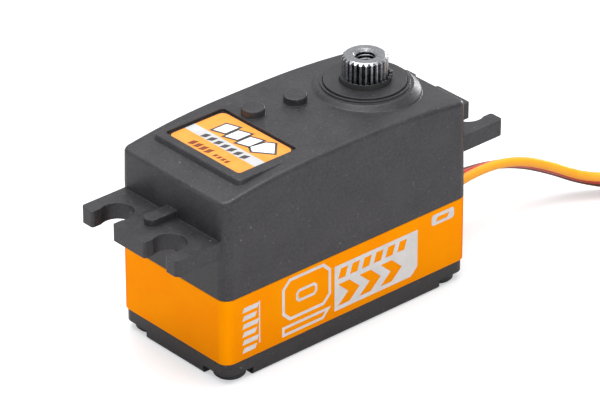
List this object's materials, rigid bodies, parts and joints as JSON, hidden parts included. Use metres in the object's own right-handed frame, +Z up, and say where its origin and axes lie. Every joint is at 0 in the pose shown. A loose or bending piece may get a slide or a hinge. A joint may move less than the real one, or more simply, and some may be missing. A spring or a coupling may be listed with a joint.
{
  "type": "hobby servo motor",
  "caption": "Low-profile geared servo with a splined output shaft, open-notch mounting lugs and a three-wire lead with plug.",
  "frame": {"origin": "middle of the underside of the case, on the surface it stands on", "axes": "+X towards the output shaft's end, +Y across the case, +Z up along the output shaft"},
  "size_m": [0.108, 0.0292, 0.0314],
  "materials": {
    "black_nylon": "fine-grained moulded nylon",
    "orange_anodised": "satin orange anodising",
    "label_print": "printed satin film",
    "shaft_steel": "oiled machined steel",
    "gear_steel": "cut steel",
    "bearing_steel": "polished",
    "screw_steel": "black oxide",
    "can_steel": "plated",
    "magnet": "sintered",
    "copper": "enamelled copper",
    "gold_contact": "plated",
    "white_nylon": "moulded",
    "board": "solder resist",
    "chip": "epoxy",
    "black_rubber": "matt",
    "wire_yellow": "satin vinyl",
    "wire_red": "satin vinyl",
    "wire_brown": "satin vinyl"
  },
  "bodies": {
    "case": {"upper_case": "black_nylon", "middle_case": "orange_anodised", "bottom_cover": "black_nylon", "cover_gasket": "black_rubber", "case_screws": "screw_steel", "top_label": "label_print", "upper_bearing_outer_ring": "bearing_steel", "lower_bearing_outer_ring": "bearing_steel", "gear_pin_1": "bearing_steel", "gear_pin_2": "bearing_steel", "gear_pin_3": "bearing_steel", "motor_can": "can_steel", "motor_end_cap": "white_nylon", "motor_bushing": "gold_contact", "motor_magnet": "magnet", "motor_brushes": "gold_contact", "motor_terminals": "gold_contact", "motor_screws": "screw_steel", "potentiometer_housing": "chip", "potentiometer_track": "chip", "potentiometer_terminals": "gold_contact", "circuit_board": "board", "controller_chip": "chip", "driver_chips": "chip", "board_capacitor": "gold_contact", "cable_grommet": "black_rubber", "lead_inner_ends": "wire_red", "signal_wire": "wire_yellow", "power_wire": "wire_red", "ground_wire": "wire_brown", "lead_coil": "wire_yellow", "lead_tie": "white_nylon", "connector_housing": "black_nylon", "connector_contacts": "gold_contact"},
    "output": {"output_shaft": "shaft_steel", "output_gear": "gear_steel", "shaft_seal": "black_rubber", "upper_bearing_inner_ring": "bearing_steel", "lower_bearing_inner_ring": "bearing_steel", "potentiometer_shaft": "white_nylon", "potentiometer_wiper": "gold_contact"},
    "upper_balls": {"upper_bearing_balls": "bearing_steel", "upper_bearing_cage": "gold_contact"},
    "lower_balls": {"lower_bearing_balls": "bearing_steel", "lower_bearing_cage": "gold_contact"},
    "third_gear_set": {"third_gear": "gear_steel"},
    "second_gear_set": {"second_gear": "gear_steel"},
    "first_gear_set": {"first_gear": "gear_steel"},
    "rotor": {"rotor_core": "can_steel", "rotor_windings": "copper", "motor_shaft": "bearing_steel", "commutator": "copper", "motor_pinion": "gold_contact"}
  },
  "joints": [
    {"name": "output_turn", "type": "hinge", "parent": "case", "child": "output", "pos_m": [0.0116, 0, 0.029], "axis": [0, 0, 1], "range_deg": [-90, 90]},
    {"name": "upper_balls_turn", "type": "hinge", "parent": "case", "child": "upper_balls", "pos_m": [0.0116, 0, 0.02], "axis": [0, 0, 1], "range_deg": [-39.23, 39.23]},
    {"name": "lower_balls_turn", "type": "hinge", "parent": "case", "child": "lower_balls", "pos_m": [0.0116, 0, 0.02], "axis": [0, 0, 1], "range_deg": [-38.39, 38.39]},
    {"name": "third_gear_turn", "type": "hinge", "parent": "case", "child": "third_gear_set", "pos_m": [0.00232, 0.00275, 0.02], "axis": [0, 0, 1], "range_deg": [-186.8, 186.8]},
    {"name": "second_gear_turn", "type": "hinge", "parent": "case", "child": "second_gear_set", "pos_m": [-0.00172, -0.00228, 0.02], "axis": [0, 0, 1], "range_deg": [-543.42, 543.42]},
    {"name": "first_gear_turn", "type": "hinge", "parent": "case", "child": "first_gear_set", "pos_m": [-0.0038, 0.00375, 0.02], "axis": [0, 0, 1], "range_deg": [-1976.08, 1976.08]},
    {"name": "motor_turn", "type": "hinge", "parent": "case", "child": "rotor", "pos_m": [-0.00782, 0, 0.02], "axis": [0, 0, 1], "range_deg": [-8892.37, 8892.37]}
  ],
  "couplings": [
    {"joint": "upper_balls_turn", "follows": "output_turn", "ratio": 0.435},
    {"joint": "lower_balls_turn", "follows": "output_turn", "ratio": 0.42571},
    {"joint": "third_gear_turn", "follows": "output_turn", "ratio": -2.0714},
    {"joint": "second_gear_turn", "follows": "output_turn", "ratio": 6.026},
    {"joint": "first_gear_turn", "follows": "output_turn", "ratio": -21.913},
    {"joint": "motor_turn", "follows": "output_turn", "ratio": 98.607}
  ]
}
